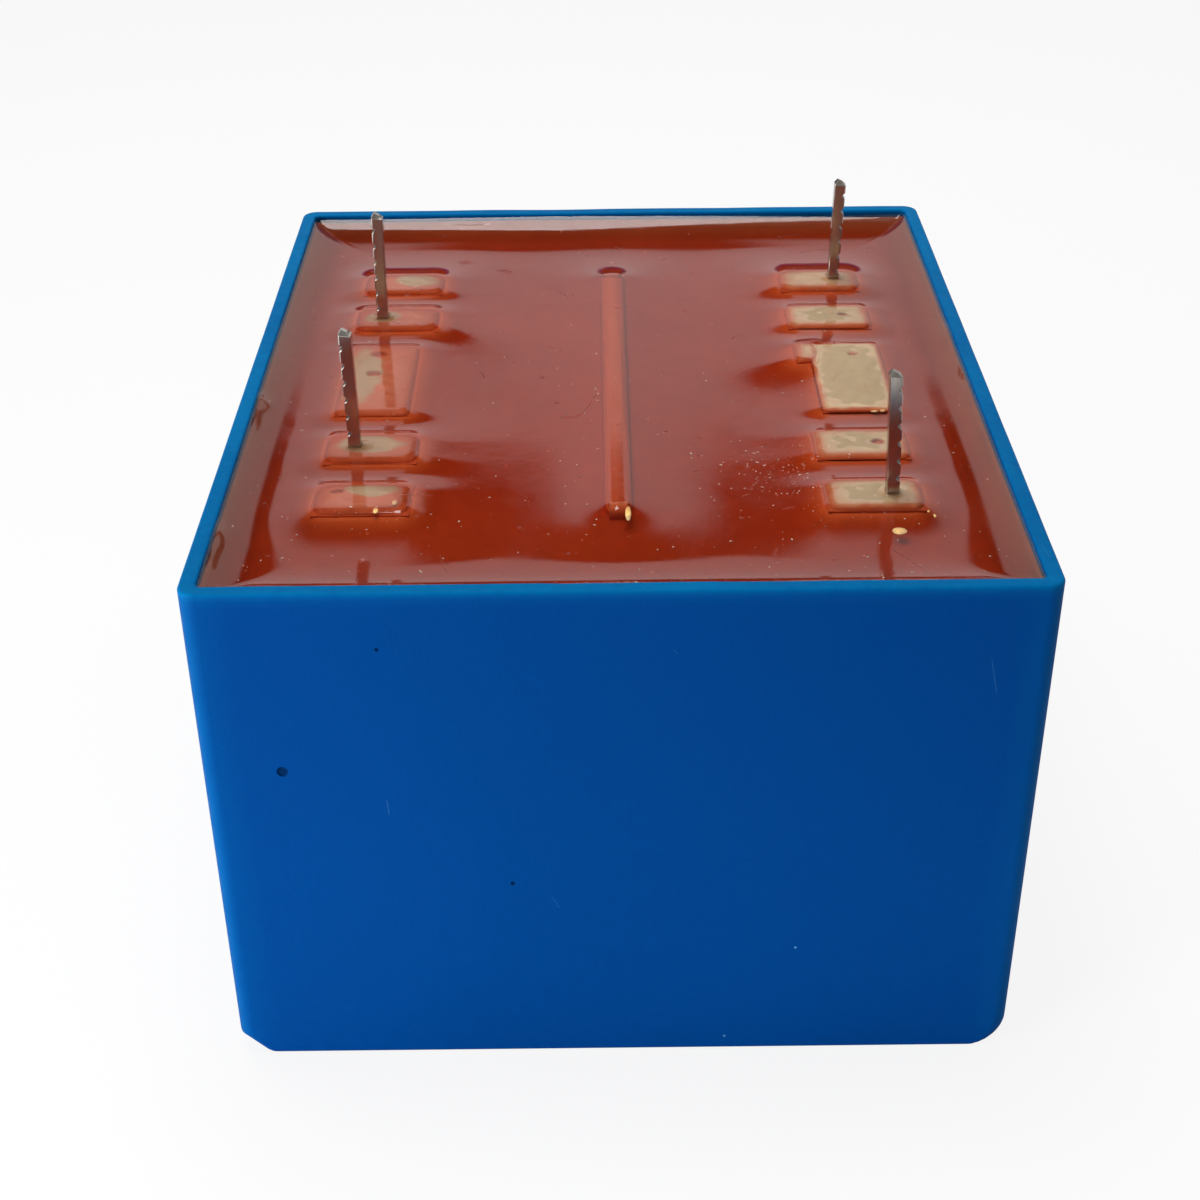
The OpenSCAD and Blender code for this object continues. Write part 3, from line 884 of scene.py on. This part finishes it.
@dataclass
class Terminals:
    """The ten pads of the two rails, and the ridge between the two chambers."""

    layout: Layout
    inner: float = 9.5
    flange_edge: float = 10.3
    pad_half: float = 1.4
    foot_z: float = 22.4
    grow: float = 0.02
    side_rows: int = 8
    top_rows: int = 34
    hole_depth: float = 0.3
    hole_stretch: float = 1.25
    pitting: float = 0.018

    def pads(self) -> list[Pad]:
        """Give every pad, from the nearest of the primary row on."""
        lay = self.layout
        out, step = lay.rail_out - self.grow, lay.pitch
        full, short = (self.inner, out), (self.flange_edge, out)
        rows = [
            (-lay.flange_half, -2 * step - 1.1), (-1.5 * step - self.pad_half, -1.5 * step + self.pad_half),
            (-3.9, 3.9), (1.5 * step - self.pad_half, 1.5 * step + self.pad_half),
            (2 * step + 1.1, lay.flange_half),
        ]
        one, two = Side.PRIMARY, Side.SECONDARY
        covered = {"edge": 0.3, "round": 0.6, "dull": 0.9}
        return [
            Pad("pad_p1", one, full, rows[0], film=-0.04, crown=0.18, edge=0.25, round=0.6, border=0.55),
            Pad("pad_p2", one, full, rows[1], film=-0.02, crown=0.14, edge=0.18, round=0.5, border=0.6,
                holes=((lay.row_x, -1.5 * step, 0.26),)),
            Pad("pad_p3", one, short, rows[2], film=-0.07, crown=0.07, edge=0.12, round=0.3, border=0.28,
                holes=((lay.row_x, 0.5 * step, 0.22),), dull=0.0),
            Pad("pad_p3_step", one, (self.inner, self.flange_edge + 0.5), (1.8, 3.9), film=0.0, crown=0.1,
                edge=0.2, round=0.3, border=0.8),
            Pad("pad_p4", one, full, rows[3], film=-0.03, crown=0.12, edge=0.18, round=0.5, border=0.6,
                holes=((lay.row_x, 1.5 * step, 0.2),)),
            Pad("pad_p5", one, full, rows[4], film=0.04, crown=0.26, edge=0.24, round=0.7, border=0.75),
            Pad("pad_s1", two, full, rows[0], film=0.03, crown=0.3, holes=((12.9, -11.9, 0.24),),
                clear=(11.3, -11.7, 1.2, 0.85), **covered),
            Pad("pad_s2", two, full, rows[1], film=0.05, crown=0.26, clear=(11.9, -7.3, 1.6, 0.95), **covered),
            Pad("pad_s3", two, short, rows[2], film=0.06, crown=0.14, edge=0.2, round=0.3, dull=0.9,
                holes=((12.3, 2.9, 0.34), (12.35, 0.5, 0.32)), clear=(13.05, 0.2, 1.1, 3.2)),
            Pad("pad_s4", two, full, rows[3], film=0.1, crown=0.3, clear=(12.5, 7.5, 1.0, 0.7), **covered),
            Pad("pad_s5", two, full, rows[4], film=0.05, crown=0.3, clear=(11.0, 12.7, 1.25, 0.85), **covered),
            Pad("ridge", one, (-0.52, 0.52), (-13.65, 13.65), film=0.03, crown=0.1, edge=0.2, round=0.5,
                clear=(0.0, 0.0, 0.05, 0.05), soak=0.9, sunk=0.26),
        ]

    def cap(self, pad: Pad) -> tuple[Surface, np.ndarray]:
        """Work out one pad: its outline carried up the sides, then drawn in to the middle of the top.

        The top is the pad's height less a crown that grows towards the outline, less a soft edge, less a
        cone for each hole. The soak mask is 1 on the sides and falls to 0 where the top is clean.

        Args:
            pad: Pad to work out.

        Returns:
            The closed surface, and the soak mask of its points.
        """
        lay = self.layout
        outline = round_outline(pad.half, pad.round, 6, 20)
        wobble = ripple(outline[:, 0] + pad.centre[0], outline[:, 1] + pad.centre[1], 1.5, 11)
        wobble = 1 + 0.012 * wobble
        sides = self.side_rows
        share = np.concatenate([np.ones(sides), 1 - np.linspace(0, 0.985, self.top_rows) ** 1.15])[:, None]
        plan = outline[None] * (share * np.where(share == 1, 1, wobble[None] ** 0.5))[..., None]
        x, y = plan[..., 0] + pad.centre[0], plan[..., 1] + pad.centre[1]
        depth_in = -box_distance(x, y, pad.centre, pad.half, pad.round)
        far = np.hypot(plan[..., 0] / pad.half[0], plan[..., 1] / pad.half[1])
        top = lay.pad_z - pad.sunk - pad.crown * ease(0.45, 1.25, far)
        top -= pad.edge * np.exp(-np.maximum(depth_in, 0) / 0.12)
        top -= self.pitting * (1 + ripple(x, y, 0.8, 12))
        holes = [
            (radius, np.hypot((x - pad.side.value * hole_x) / self.hole_stretch, y - hole_y))
            for hole_x, hole_y, radius in pad.holes
        ]
        for radius, away in holes:
            top -= self.hole_depth * (1 - ease(0.55 * radius, 1.15 * radius, away))
        z = top.copy()
        z[:sides] = self.foot_z + (top[sides][None] - self.foot_z) * np.linspace(0, 1, sides)[:, None]
        soak = pad.soak * ease(pad.border, 0.02, depth_in + 0.05 * ripple(x, y, 0.9, 13))
        if pad.clear:
            clear_x, clear_y, reach_x, reach_y = pad.clear
            off = np.hypot((x - pad.side.value * clear_x) / reach_x, (y - clear_y) / reach_y)
            soak = np.maximum(soak, pad.soak * ease(0.8, 1.15, off + 0.08 * ripple(x, y, 1.1, 14)))
        for radius, away in holes:
            soak = np.maximum(soak, 0.6 * ease(1.1 * radius, 0.8 * radius, away))
        soak[:sides] = 1.0
        shape = closed_tube(np.stack([x, y, z], axis=-1))
        return shape, np.concatenate([soak.ravel(), [1.0, soak[-1].mean()]])

    def build(self) -> None:
        """Make the pads and the ridge."""
        for pad in self.pads():
            (points, quads, tris), soak = self.cap(pad)
            masks = {"soak": soak, "dull": np.full(len(points), pad.dull)}
            make_piece(pad.name, points, quads, tris, IVORY, masks)


@dataclass
class Bobbin:
    """Bobbin body: the CAD bobbin's shape with its rails cut back below the pads and its edges broken."""

    layout: Layout
    drop: float = 0.45
    break_edge: float = 0.1

    def build(self) -> None:
        """Copy the CAD solid, merge it, lower its topmost points and bevel it."""
        lay = self.layout
        source = frame["nodes"]["bobbin"]
        mesh = source.data.copy()
        mesh.name = "bobbin_body"
        mesh.materials.clear()
        mesh.materials.append(IVORY.material())
        piece = new_object("bobbin_body", mesh)
        co = np.empty(len(mesh.vertices) * 3, dtype=np.float32)
        mesh.vertices.foreach_get("co", co)
        co = co.reshape(-1, 3)
        high = co[:, 2] > (lay.pad_z - 0.01) * MM
        co[high, 2] -= self.drop * MM
        mesh.vertices.foreach_set("co", co.ravel())
        soak = mesh.attributes.new("soak", "FLOAT", "POINT")
        soak.data.foreach_set("value", np.full(len(mesh.vertices), 0.9, dtype=np.float32))
        weld = piece.modifiers.new("weld", "WELD")
        weld.merge_threshold = 0.001 * MM
        bevel = piece.modifiers.new("break the edges", "BEVEL")
        bevel.width = self.break_edge * MM
        bevel.segments = 2
        bevel.limit_method = "ANGLE"
        bevel.angle_limit = math.radians(40)
        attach(piece, "root")
        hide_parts("bobbin")
        LOG.info("bobbin_body: %d points", len(mesh.vertices))


@dataclass(frozen=True)
class Stance:
    """How one pin stands: its lean in X and Y over its free length, and how much shorter its tip is."""

    lean_x: float
    lean_y: float
    short: float


@dataclass
class Pins:
    """Four square pins with bevelled tips and pressed notches."""

    layout: Layout
    notch_pitch: float = 0.88
    notch_depth: float = 0.24
    notch_half: float = 0.17
    corner_r: float = 0.06
    tip: float = 0.16
    stances: dict[str, Stance] = field(default_factory=lambda: {
        "primary_pin_front": Stance(-0.26, 0.0, 0.0),
        "primary_pin_rear": Stance(0.12, 0.0, 0.3),
        "secondary_pin_front": Stance(-0.06, 0.0, 0.0),
        "secondary_pin_rear": Stance(0.05, 0.1, 0.1),
    })

    def rings(self, name: str) -> np.ndarray:
        """Carry a square with round corners up a pin.

        The half width across X is less by a V at each notch, both half widths shrink along the tip's bevel,
        and the centre drifts by the lean over the free length.
        """
        low, high = self.layout.pins[name]
        stance = self.stances[name]
        centre, half = (low + high) / 2, (high - low) / 2
        tip_z = float(high[2]) - stance.short
        free_z = self.layout.pad_z - 0.5
        z = np.unique(np.concatenate([np.linspace(low[2], free_z, 8), np.linspace(free_z, tip_z, 150)]))
        notch_z = tip_z - self.notch_pitch * np.arange(1, 7)
        off = np.abs(z[:, None] - notch_z[None]).min(axis=1)
        notch = self.notch_depth * np.clip(1 - off / self.notch_half, 0, 1) * (z > self.layout.pad_z - 0.2)
        bevel = self.tip * np.clip((z - tip_z + self.tip * 1.4) / (self.tip * 1.4), 0, 1)
        outline = round_outline((1.0, 1.0), self.corner_r / half[0], 4, 5)
        outer = np.clip(outline[None, :, 0] * math.copysign(1, centre[0]), 0, 1)
        x = outline[None, :, 0] * ((half[0] - bevel)[:, None] - notch[:, None] * outer)
        y = outline[None, :, 1] * (half[1] - bevel)[:, None]
        up = ease(free_z, tip_z + 2.0, z) / ease(free_z, tip_z + 2.0, np.array(tip_z))
        x = x + centre[0] + (stance.lean_x * up)[:, None]
        y = y + centre[1] + (stance.lean_y * up)[:, None]
        slant = 0.14 * ease(tip_z - 0.5, tip_z, z)[:, None] * (outline[None, :, 0] + 1) / 2
        return np.stack([x, y, np.broadcast_to(z[:, None], x.shape) - slant], axis=-1)

    def build(self) -> None:
        """Make the four pins and let each stand for its CAD pin."""
        for name in self.layout.pins:
            points, quads, tris = closed_tube(self.rings(name))
            piece = make_piece(f"{name}_wire", points, quads, tris, TINNED, smooth=False)
            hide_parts(name)


@dataclass
class Resin:
    """Casting resin: a closed volume whose top climbs the walls, pads, ridge and pins."""

    layout: Layout
    terminals: Terminals
    level: float = 25.0
    overlap: float = 0.3
    wall_rise: float = 1.02
    wall_reach: float = 1.2
    pad_reach: float = 1.9
    depth: float = 0.95
    shallow: float = 0.5
    # Reach of the painted light beside the pads and of the painted shade beside the walls.
    glow_reach: float = 0.5
    shade_reach: float = 1.3
    corner_r: float = 0.3
    blend: float = 3.0
    pin_rise: float = 0.16
    below_rim: float = 0.1
    fine: float = 0.125
    coarse: float = 0.2
    bed_step: float = 1.6
    rails: tuple[tuple[float, float], ...] = ((-14.4, -9.2), (9.2, 14.4), (-1.0, 1.0))
    rail_run: tuple[float, float] = (-14.2, 14.2)
    runs: tuple[tuple[float, float, float, float], ...] = (
        (-17.8, -3.3, 0.2, 0.6), (-17.8, -16.4, 0.15, 1.0), (17.8, 4.0, 0.12, 1.2),
    )

    def axis_points(self, half: float, bands: list[tuple[float, float]], step: float) -> np.ndarray:
        """Space points along an axis, closer inside the given bands.

        Args:
            half: Half of the length.
            bands: Stretches, from and to, that need the fine spacing.
            step: Factor on both spacings.

        Returns:
            Rising coordinates from -half to half.
        """
        probe = np.linspace(-half, half, 4001)
        inside = np.zeros_like(probe, dtype=bool)
        for start, end in bands:
            inside |= (probe >= start) & (probe <= end)
        density = np.where(inside, 1 / self.fine, 1 / self.coarse) / step
        count = np.concatenate([[0.0], np.cumsum((density[1:] + density[:-1]) / 2 * np.diff(probe))])
        return np.interp(np.linspace(0, count[-1], int(count[-1]) + 1), count, probe)

    def to_wall(self, x: np.ndarray, y: np.ndarray) -> np.ndarray:
        """Give the distance to the nearest wall, negative past it."""
        return -box_distance(x, y, (0.0, 0.0), tuple(self.layout.cavity_half), self.corner_r)

    def top(self, x: np.ndarray, y: np.ndarray) -> np.ndarray:
        """Give the height of the resin's surface.

        Over the level stand a falling exponential of the distance to the walls, one for each pad and one for
        the ridge, joined by a soft maximum. Over a pad the surface follows that pad's film. A low ripple
        and a few runs up the wall are added.
        """
        lay = self.layout
        to_wall = np.maximum(self.to_wall(x, y), 0.0)
        ragged = 1 + 0.04 * ripple(x, y, 22.0, 21)
        runs = 0.0
        for run_x, run_y, height, width in self.runs:
            runs = runs + height * np.exp(-((y - run_y) / width) ** 2 - np.abs(x - run_x) / 0.35)
        walls = self.wall_rise * ragged * np.exp(-to_wall / self.wall_reach) + runs
        total = np.maximum(walls, 0) ** self.blend
        cover = np.zeros_like(x)
        film = np.zeros_like(x)
        for pad in self.terminals.pads():
            gap = box_distance(x, y, pad.centre, pad.half, pad.round)
            height = lay.pad_z + pad.film - self.level - 0.05
            climb = np.maximum(height, 0.05) * np.exp(-np.maximum(gap, 0) / self.pad_reach)
            total = total + climb ** self.blend
            inside = ease(0.12, -0.28, gap)
            film = np.where(inside > cover, lay.pad_z + pad.film - self.level, film)
            cover = np.maximum(cover, inside)
        rise = total ** (1 / self.blend)
        rise = rise * (1 - cover) + np.where(cover > 0, film, rise) * cover
        for low, high in lay.pins.values():
            centre = (low + high) / 2
            away = np.maximum(np.hypot(x - centre[0], y - centre[1]) - 0.3, 0)
            rise = rise + self.pin_rise * np.exp(-away / 0.16)
        rise = rise + 0.004 * ripple(x, y, 9.0, 23)
        return np.minimum(self.level + rise, lay.rim_z - self.below_rim)

    def to_pads(self, x: np.ndarray, y: np.ndarray) -> np.ndarray:
        """Give the distance to the nearest pad, negative over it."""
        pads = [pad for pad in self.terminals.pads() if pad.name.startswith("pad")]
        gaps = [box_distance(x, y, pad.centre, pad.half, pad.round) for pad in pads]
        return np.min(gaps, axis=0)

    def bed(self, x: np.ndarray, y: np.ndarray) -> np.ndarray:
        """Give the height of the cloudy bed: a depth below the surface, and less beside walls and pads."""
        gap = self.to_pads(x, y)
        clear_of_pad = np.maximum(ease(-0.1, 1.5, gap), ease(0.0, -0.3, gap))
        beside_pad = self.shallow + (1 - self.shallow) * clear_of_pad
        share = np.minimum(0.3 + 0.7 * ease(0.0, 1.6, self.to_wall(x, y)), beside_pad)
        return self.top(x, y) - self.depth * share

    def block(self, height: Callable[[np.ndarray, np.ndarray], np.ndarray], inset: float, base_z: float,
              step: float) -> Surface:
        """Close a height field with upright sides and a fan at its base.

        Args:
            height: Gives the height of the top from X and Y.
            inset: How far the sides stand inside those of the clear volume.
            base_z: Height of the base.
            step: Coarsening of the grid.

        Returns:
            Points, quads and triangles of the closed block.
        """
        lay = self.layout
        half = lay.cavity_half + self.overlap - inset
        walls = [(-half[0], -half[0] + 0.8), (half[0] - 0.8, half[0])]
        xs = self.axis_points(float(half[0]), [*self.rails, *walls], step)
        ys = self.axis_points(float(half[1]), [self.rail_run], step)
        x, y = np.meshgrid(xs, ys)
        rows, columns = x.shape
        top = np.stack([x, y, height(x, y)], axis=-1)
        index = np.arange(rows * columns).reshape(rows, columns)
        quads = np.stack([index[:-1, :-1], index[:-1, 1:], index[1:, 1:], index[1:, :-1]], axis=-1)
        quads = quads.reshape(-1, 4)
        border = np.concatenate([index[0, :-1], index[:-1, -1], index[-1, :0:-1], index[:0:-1, 0]])
        foot = top.reshape(-1, 3)[border].copy()
        foot[:, 2] = base_z
        feet = np.arange(len(border)) + rows * columns
        sides = np.stack([np.roll(border, -1), border, feet, np.roll(feet, -1)], axis=-1)
        hub = np.array([[0.0, 0.0, base_z]])
        tris = fan_faces(feet, rows * columns + len(border), inward=True)
        LOG.info("resin grid %d x %d", rows, columns)
        return np.vstack([top.reshape(-1, 3), foot, hub]), np.vstack([quads, sides]), tris

    def build(self) -> None:
        """Make the clear volume, and the cloudy bed a little below its surface."""
        surface = self.block(self.top, 0.0, self.layout.tape_z + 0.02, 1.0)
        clear = make_piece("resin_fill", *surface, RESIN_SKIN)
        clear.visible_shadow = False
        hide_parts("clear_resin")
        points, quads, tris = self.block(self.bed, 0.1, self.layout.floor_z - self.overlap, self.bed_step)
        x, y = points[:, 0], points[:, 1]
        # Masks of the painted light beside the pads and of the painted shade beside the walls.
        glow = np.exp(-np.maximum(self.to_pads(x, y), 0.0) / self.glow_reach)
        shade = np.exp(-np.maximum(self.to_wall(x, y), 0.0) / self.shade_reach)
        bed = make_piece("resin_depth", points, quads, tris, RESIN_DEPTH, {"glow": glow, "shade": shade})
        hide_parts("potting")


@dataclass
class Lint:
    """Dust: small flat chips strewn over the resin."""

    layout: Layout
    resin: Resin
    count: int = 1100
    seed: int = 7
    margin: float = 0.4
    patch_share: float = 0.22
    patch: tuple[float, float] = (7.6, -10.0)
    patch_spread: tuple[float, float] = (1.3, 1.6)

    def build(self) -> None:
        """Strew eight-sided chips of seeded size and turn over the surface."""
        lay = self.layout
        rng = np.random.default_rng(self.seed)
        x = rng.uniform(-1, 1, self.count) * (lay.cavity_half[0] - self.margin)
        y = (1 - 2 * rng.random(self.count) ** 0.55) * (lay.cavity_half[1] - self.margin)
        patch = rng.random(self.count) < self.patch_share
        x = np.where(patch, self.patch[0] + rng.normal(0, self.patch_spread[0], self.count), x)
        y = np.where(patch, self.patch[1] + rng.normal(0, self.patch_spread[1], self.count), y)
        z = self.resin.top(x, y)
        size = 0.016 + 0.05 * rng.random(self.count) ** 4
        turn = rng.uniform(0, np.pi, self.count)
        corners = np.array([[1, 0, 0], [0, 1, 0], [-1, 0, 0], [0, -1, 0], [0, 0, 1], [0, 0, -1]], dtype=float)
        upper = [[0, 1, 4], [1, 2, 4], [2, 3, 4], [3, 0, 4]]
        faces = np.array(upper + [[1, 0, 5], [2, 1, 5], [3, 2, 5], [0, 3, 5]])
        long = 1 + 1.2 * rng.random(self.count) ** 2
        local = corners[None] * (size[:, None] * np.array([1.0, 1.0, 0.45]))[:, None, :]
        local[..., 0] *= long[:, None]
        spun_x = local[..., 0] * np.cos(turn)[:, None] - local[..., 1] * np.sin(turn)[:, None]
        spun_y = local[..., 0] * np.sin(turn)[:, None] + local[..., 1] * np.cos(turn)[:, None]
        points = np.stack([spun_x + x[:, None], spun_y + y[:, None], local[..., 2] + z[:, None]], axis=-1)
        tris = (faces[None] + 6 * np.arange(self.count)[:, None, None]).reshape(-1, 3)
        make_piece("resin_dust", points.reshape(-1, 3), np.empty((0, 4), dtype=int), tris, LINT)


@dataclass
class GlintChips:
    """Painted glints at the feet of the pads and the ridge: little bright gold shells under the surface that
    stand in for glints of light seen through the resin.
    """

    resin: Resin
    thick: float = 0.06
    places: tuple[tuple[float, float, float, float, float], ...] = (
        (12.46, -15.5, 0.34, 0.3, 0.07), (14.2, -14.3, 0.07, 0.14, 0.1), (13.95, -14.0, 0.06, 0.1, 0.1),
        (-10.97, -13.7, 0.12, 0.22, 0.12), (-10.16, -13.05, 0.13, 0.24, 0.12), (0.42, -14.0, 0.14, 0.6, 0.1),
        (12.8, -4.0, 0.2, 0.1, 0.1), (13.2, -3.95, 0.14, 0.12, 0.1), (13.5, -3.9, 0.1, 0.1, 0.1),
    )

    def build(self) -> None:
        """Make the shells: each a latitude and longitude grid of an ellipsoid, a little under the surface."""
        rise = np.linspace(-np.pi / 2, np.pi / 2, 10)[1:-1]
        turn = np.linspace(0, 2 * np.pi, 16, endpoint=False)
        ring = np.stack([
            np.cos(rise)[:, None] * np.cos(turn), np.cos(rise)[:, None] * np.sin(turn),
            np.broadcast_to(np.sin(rise)[:, None], (len(rise), len(turn))),
        ], axis=-1)
        parts = []
        for x, y, reach_x, reach_y, under in self.places:
            z = float(self.resin.top(np.array([x]), np.array([y]))[0]) - under
            shell = ring * np.array([reach_x, reach_y, self.thick]) + np.array([x, y, z])
            parts.append(closed_tube(shell))
        # The chips are painted glints.
        make_piece("resin_painted_glints", *merged(parts), GLINT_CHIPS)


class CarriedOver:
    """CAD nodes whose shapes stay, each with the finish of its slot."""

    FINISHES = {"winding": COPPER, "lead": COPPER, "tape": TAPE, "solder": SOLDER, "lamination": CORE_STEEL}

    def dress(self) -> None:
        """Give each carried-over node its finish."""
        dressed = 0
        for name, node in frame["nodes"].items():
            finish = next((made for word, made in self.FINISHES.items() if word in name), None)
            if finish is None:
                continue
            node.data.materials.clear()
            node.data.materials.append(finish.material())
            dressed += 1
        LOG.info("dressed %d carried-over nodes", dressed)


# ---------------------------------------------------------------- Studio


@dataclass
class Studio:
    """Camera, floor, lamps and surroundings."""

    focal_share: float = 1925.0 / 1200.0
    sensor: float = 36.0
    pitch: float = 32.1
    yaw: float = 0.09
    roll: float = 0.55
    eye: tuple[float, float, float] = (-1.0, -89.5, 68.1)
    floor_half: float = 2.5
    dim_share: float = 0.03
    lamps: tuple[tuple[str, tuple[float, float, float], float, float], ...] = (
        ("key", (-0.1, -0.09, 0.025), 0.06, 0.17), ("overhead", (-0.02, 0.03, 0.2), 0.1, 0.21),
    )

    def camera(self) -> None:
        """Place the camera by its pitch below the horizon, its yaw and its roll."""
        data = bpy.data.cameras.new("camera")
        data.sensor_width = self.sensor
        data.lens = self.focal_share * self.sensor
        data.clip_start, data.clip_end = 0.001, 10.0
        pitch, yaw, roll = (math.radians(angle) for angle in (self.pitch, self.yaw, self.roll))
        ahead = np.array([math.sin(yaw) * math.cos(pitch), math.cos(yaw) * math.cos(pitch), -math.sin(pitch)])
        right = np.array([math.cos(yaw), -math.sin(yaw), 0.0])
        down = np.cross(ahead, right)
        tilted_right = math.cos(roll) * right + math.sin(roll) * down
        tilted_down = -math.sin(roll) * right + math.cos(roll) * down
        matrix = np.eye(4)
        matrix[:3, 0], matrix[:3, 1], matrix[:3, 2] = tilted_right, -tilted_down, -ahead
        matrix[:3, 3] = np.array(self.eye) * MM
        camera = new_object("camera", data)
        camera.matrix_world = Matrix(matrix.tolist())
        bpy.context.scene.camera = camera

    def floor(self) -> None:
        """Lay a plain pale floor that keeps a faint shadow."""
        half = self.floor_half
        mesh = bpy.data.meshes.new("floor")
        corners = [(-half, -half, 0), (half, -half, 0), (half, half, 0), (-half, half, 0)]
        mesh.from_pydata(corners, [], [(0, 1, 2, 3)])
        floor = new_object("floor", mesh)
        made = bpy.data.materials.new("pale floor")
        made.use_nodes = True
        sheet = Sheet(made.node_tree)
        output = sheet.node("OutputMaterial")
        paint = sheet.feed(sheet.node("BsdfDiffuse"), Color=rgb(0.9, 0.9, 0.9))
        glow = sheet.feed(sheet.node("Emission"), Color=rgb(1.0, 1.0, 1.0), Strength=1.0)
        path = sheet.node("LightPath")
        share = sheet.math("MULTIPLY", path.outputs["Is Camera Ray"], 0.86)
        both = sheet.feed(sheet.node("MixShader"), Fac=share, i1=paint.outputs[0], i2=glow.outputs[0])
        sheet.link(both.outputs[0], output.inputs["Surface"])
        mesh.materials.append(made)

    def surroundings(self) -> None:
        """Set a white room with a dim panel, ceiling and horizon ahead, as glossy resin mirrors it."""
        world = bpy.data.worlds.new("room")
        bpy.context.scene.world = world
        world.use_nodes = True
        sheet = Sheet(world.node_tree)
        output = sheet.node("OutputWorld")
        way = sheet.node("TexCoord").outputs["Generated"]
        split = sheet.feed(sheet.node("SeparateXYZ"), Vector=way)
        flat = sheet.math("ARCTAN2", split.outputs["X"], split.outputs["Y"])
        height = sheet.math("ARCSINE", split.outputs["Z"])
        aside = sheet.math("ABSOLUTE", flat)
        panel = sheet.math("MULTIPLY", sheet.angle_range(height, 26.0, 29.5),
                           sheet.angle_range(aside, 4.0, 8.2, falls=True))
        ceiling = sheet.math("MULTIPLY", sheet.angle_range(height, 34.0, 42.0),
                             sheet.angle_range(aside, 35.0, 50.0, falls=True))
        horizon = sheet.math("MULTIPLY", sheet.angle_range(height, 4.5, 9.0, falls=True),
                             sheet.range(split.outputs["Y"], 0.3, 0.6))
        dim = sheet.math("MAXIMUM", sheet.math("MAXIMUM", panel, ceiling), horizon)
        ahead = sheet.range(split.outputs["Y"], -0.3, 0.5, 0.3, 0.78)
        lit = sheet.math("MULTIPLY", ahead, sheet.range(dim, 0.0, 1.0, 1.0, self.dim_share))
        path = sheet.node("LightPath")
        room = sheet.feed(sheet.node("Background"), Color=rgb(1.0, 0.99, 0.98), Strength=lit)
        white = sheet.feed(sheet.node("Background"), Color=rgb(1.0, 1.0, 1.0), Strength=1.0)
        both = sheet.feed(sheet.node("MixShader"), Fac=path.outputs["Is Camera Ray"], i1=room.outputs[0],
                          i2=white.outputs[0])
        sheet.link(both.outputs[0], output.inputs["Surface"])

    def lamp(self, name: str, place: tuple[float, float, float], size: float, power: float) -> None:
        """Hang a square soft lamp that faces the part.

        Args:
            name: Name of the lamp.
            place: Its place in metres.
            size: Its side in metres.
            power: Its power in watts.
        """
        data = bpy.data.lights.new(name, "AREA")
        data.size = size
        data.energy = power
        lamp = new_object(name, data)
        lamp.location = place
        towards = -np.array(place) / np.linalg.norm(place)
        lamp.rotation_mode = "QUATERNION"
        lamp.rotation_quaternion = Vector(towards).to_track_quat("-Z", "Y")

    def build(self) -> None:
        """Set up the view, the floor and the light."""
        self.camera()
        self.floor()
        self.surroundings()
        for name, place, size, power in self.lamps:
            self.lamp(name, place, size, power)
        bpy.context.scene.view_settings.view_transform = "Standard"


def main() -> None:
    """Build the studio and every sub-assembly in order."""
    logging.basicConfig(level=logging.INFO, format="%(message)s")
    layout = Layout.from_frame()
    Studio().build()
    terminals = Terminals(layout)
    resin = Resin(layout, terminals)
    Case(layout).build()
    Bobbin(layout).build()
    terminals.build()
    Pins(layout).build()
    resin.build()
    Lint(layout, resin).build()
    GlintChips(resin).build()
    CarriedOver().dress()


if __name__ == "__main__":
    main()
